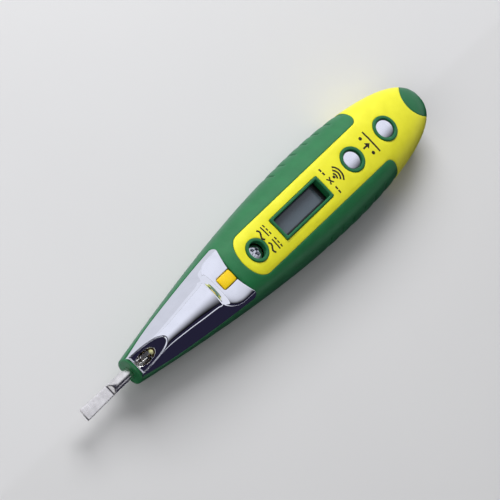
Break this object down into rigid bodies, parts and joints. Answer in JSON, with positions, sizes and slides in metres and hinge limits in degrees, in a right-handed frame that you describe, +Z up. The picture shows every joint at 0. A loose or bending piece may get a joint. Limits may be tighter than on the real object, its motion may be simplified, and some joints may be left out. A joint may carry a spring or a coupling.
{
  "type": "digital voltage test pen",
  "caption": "Pocket voltage test pen with a flat screwdriver blade, lamp hood and push button, display window, two touch keys and soft side grips.",
  "frame": {"origin": "centre of the bounding box at the level of the flat back the pen lies on", "axes": "+X along the pen from the blade tip to the tail cap, +Y across it, +Z up out of the display panel"},
  "size_m": [0.1372, 0.0238, 0.0155],
  "materials": {
    "yellow_plastic": "smooth moulded ABS, light gloss",
    "green_rubber": "fine matt moulded soft grip",
    "green_plastic": "smooth moulded ABS",
    "button_yellow": "smooth moulded ABS",
    "chrome_plate": "bright plated plastic",
    "key_metal": "polished plated metal",
    "blade_steel": "nickel plated, finely ground",
    "screw_steel": "zinc plated",
    "spring_steel": "drawn wire",
    "display_glass": "grey liquid crystal cell",
    "led_resin": "clear resin",
    "contact_brass": "bright sheet",
    "board_laminate": "green solder mask",
    "black_plastic": "moulded",
    "connector_rubber": "striped silicone",
    "cell_steel": "nickel plated can",
    "wire_red": "PVC insulation",
    "wire_black": "PVC insulation",
    "wire_blue": "PVC insulation",
    "resistor_lacquer": "lacquered ceramic body"
  },
  "bodies": {
    "root": {"rear_case": "yellow_plastic", "front_case": "yellow_plastic", "rear_overmould": "green_rubber", "front_overmould": "green_rubber", "tail_cap": "green_plastic", "lcd_bezel": "green_plastic", "lcd_glass": "display_glass", "lcd_connector": "connector_rubber", "screw_ring": "green_plastic", "case_screw": "screw_steel", "induction_key_ring": "green_plastic", "direct_key_ring": "green_plastic", "induction_key_spring": "spring_steel", "direct_key_spring": "spring_steel", "lamp_hood": "chrome_plate", "lamp_led": "led_resin", "led_leads": "spring_steel", "led_holder": "chrome_plate", "switch_body": "black_plastic", "lamp_board": "board_laminate", "lamp_wires": "wire_red", "battery_leads": "wire_black", "probe_wire": "wire_blue", "blade_shaft": "blade_steel", "blade_anchor": "contact_brass", "contact_spring": "spring_steel", "safety_resistor": "resistor_lacquer", "main_board": "board_laminate", "key_pads": "contact_brass", "display_chip": "black_plastic", "board_components": "black_plastic", "button_cells": "cell_steel", "battery_spring": "spring_steel", "battery_contacts": "contact_brass"},
    "lamp_button": {"lamp_button": "button_yellow", "switch_plunger": "black_plastic"},
    "induction_key": {"induction_key": "key_metal"},
    "direct_key": {"direct_key": "key_metal"}
  },
  "joints": [
    {"name": "lamp_button_press", "type": "slide", "parent": "root", "child": "lamp_button", "axis": [0, 0, -1], "range_m": [0, 0.0008], "stiffness_N_per_m": 300},
    {"name": "induction_key_press", "type": "slide", "parent": "root", "child": "induction_key", "axis": [0, 0, -1], "range_m": [0, 0.0005], "stiffness_N_per_m": 300, "deforming": ["induction_key_spring"]},
    {"name": "direct_key_press", "type": "slide", "parent": "root", "child": "direct_key", "axis": [0, 0, -1], "range_m": [0, 0.0005], "stiffness_N_per_m": 300, "deforming": ["direct_key_spring"]}
  ]
}
